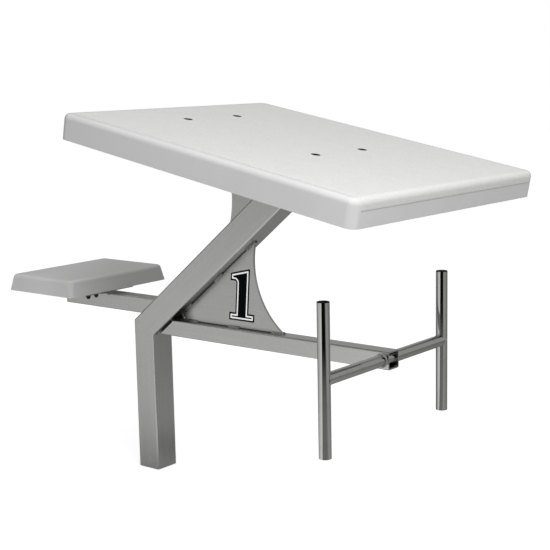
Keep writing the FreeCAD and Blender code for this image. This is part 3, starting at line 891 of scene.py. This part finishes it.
# Non-slip coat over the tread's top and nose
layer = {
    "rear": -0.7425,
    "halfWidth": 0.3107,
    "top": 0.0563,
    "noseRadius": 0.013,
    "lip": 0.0316,
    "thickness": 0.0009,
    "feather": 0.0022,
    "relief": 0.00010,
    "waver": 0.0006,
    "waverSlow": 55.0,
    "waverQuick": 160.0,
    "thinned": 0.75,
    "rounding": 1.5,
    "lumps": 90.0,
    "grains": 240.0,
    "strip": 0.0085,
    "holeRadius": 0.0095,
    "holeDepth": 0.03,
    "noseSteps": 10,
}


def strips(low, high):
    # places from edge to edge, close together in the feathered margins
    inner = [low + layer["feather"] * 2, high - layer["feather"] * 2]
    count = round((inner[1] - inner[0]) / layer["strip"])
    even = [inner[0] + (inner[1] - inner[0]) * index / count for index in range(count + 1)]
    margin = [0.0, layer["feather"] * 0.4, layer["feather"]]
    return [low + depth for depth in margin] + even + [high - depth for depth in reversed(margin)]


def coatNormal(point):
    turn = -layer["noseRadius"]
    if point.x <= turn:
        return Vector((0, 0, 1))
    if point.z <= layer["top"] + turn:
        return Vector((1, 0, 0))
    return Vector((point.x - turn, 0, point.z - layer["top"] - turn)).normalized()


def growPoint(bm, vert, step):
    fresh = bmesh.ops.extrude_vert_indiv(bm, verts=[vert])["verts"][0]
    bmesh.ops.translate(bm, vec=step, verts=[fresh])
    return fresh


def coatSheet(bm):
    # a bent line over the top and the nose, drawn out across the tread
    nose = -layer["noseRadius"]
    drop = layer["top"] - layer["noseRadius"]
    along = strips(layer["rear"], nose)[:-3] + [nose]
    last = bm.verts.new((along[0], -layer["halfWidth"], layer["top"]))
    for place, reached in zip(along[1:], along):
        last = growPoint(bm, last, Vector((place - reached, 0, 0)))
    spun = bmesh.ops.spin(bm, geom=[last], cent=Vector((nose, 0, drop)), axis=Vector((0, 1, 0)),
                          dvec=Vector((0, 0, 0)), angle=math.pi / 2, steps=layer["noseSteps"],
                          use_merge=False, use_duplicate=False)
    last = [item for item in spun["geom_last"] if isinstance(item, bmesh.types.BMVert)][0]
    down = [drop, layer["lip"] + layer["feather"] * 2, layer["lip"] + layer["feather"],
            layer["lip"] + layer["feather"] * 0.4, layer["lip"]]
    for place, reached in zip(down[1:], down):
        last = growPoint(bm, last, Vector((0, 0, place - reached)))
    line = list(bm.edges)
    across = strips(-layer["halfWidth"], layer["halfWidth"])
    for place, reached in zip(across[1:], across):
        row, line = grow(bm, line, Vector((0, place - reached, 0)))


def roughenCoat(bm):
    # wavering, thinned margins and an uneven surface
    for vert in bm.verts:
        point = vert.co.copy()
        normal = coatNormal(point)
        margins = [(layer["halfWidth"] - abs(point.y), Vector((0, math.copysign(1, point.y), 0)), point.x),
                   (point.x - layer["rear"], Vector((-1, 0, 0)), point.y)]
        if normal.x > 0.99:
            margins.append((point.z - layer["lip"], Vector((0, 0, -1)), point.y))
        for depth, outward, run in margins:
            if depth < layer["feather"] * 2:
                near = 1.0 - depth / (layer["feather"] * 2)
                slow = noise.noise(Vector((run * layer["waverSlow"], depth, 3.7)))
                quick = noise.noise(Vector((run * layer["waverQuick"], 0, 9.1)))
                vert.co += outward * (slow + 0.5 * quick) * layer["waver"] * near
                if depth < layer["feather"]:
                    edge = (1.0 - depth / layer["feather"]) ** layer["rounding"]
                    vert.co -= normal * layer["thickness"] * layer["thinned"] * edge
        rise = noise.noise(point * layer["lumps"]) + 0.6 * noise.noise(point * layer["grains"])
        vert.co += normal * rise * layer["relief"]


def drillCoat(coatPiece):
    # opens the coat over the four bolts
    cutter = bmesh.new()
    for back in block["boltsBack"]:
        for side in (-1, 1):
            place = Matrix.Translation((-back, side * block["boltsApart"], layer["top"]))
            bmesh.ops.create_cone(cutter, cap_ends=True, segments=48, radius1=layer["holeRadius"],
                                  radius2=layer["holeRadius"], depth=layer["holeDepth"],
                                  matrix=treadPlace @ place)
    cutMesh = bpy.data.meshes.new("coatDrill")
    cutter.to_mesh(cutMesh)
    cutter.free()
    drill = bpy.data.objects.new("coatDrill", cutMesh)
    bpy.context.scene.collection.objects.link(drill)
    bore = coatPiece.modifiers.new("holes", "BOOLEAN")
    bore.operation = "DIFFERENCE"
    bore.solver = "EXACT"
    bore.object = drill
    bpy.context.view_layer.update()
    cut = coatPiece.evaluated_get(bpy.context.evaluated_depsgraph_get())
    drilled = bpy.data.meshes.new_from_object(cut)
    coatPiece.modifiers.remove(bore)
    coatPiece.data = drilled
    bpy.data.objects.remove(drill)


def nonSlipCoat():
    bm = bmesh.new()
    coatSheet(bm)
    roughenCoat(bm)
    bmesh.ops.recalc_face_normals(bm, faces=bm.faces)
    if sum(face.normal.z for face in bm.faces) < 0:
        bmesh.ops.reverse_faces(bm, faces=bm.faces)
    bmesh.ops.solidify(bm, geom=list(bm.faces), thickness=layer["thickness"])
    bmesh.ops.transform(bm, matrix=treadPlace, verts=bm.verts)
    drillCoat(keepPiece("nonSlipLayer", bm, treadSand, "tread_grit", "tread_grit"))


nonSlipCoat()
print("non-slip coat laid")
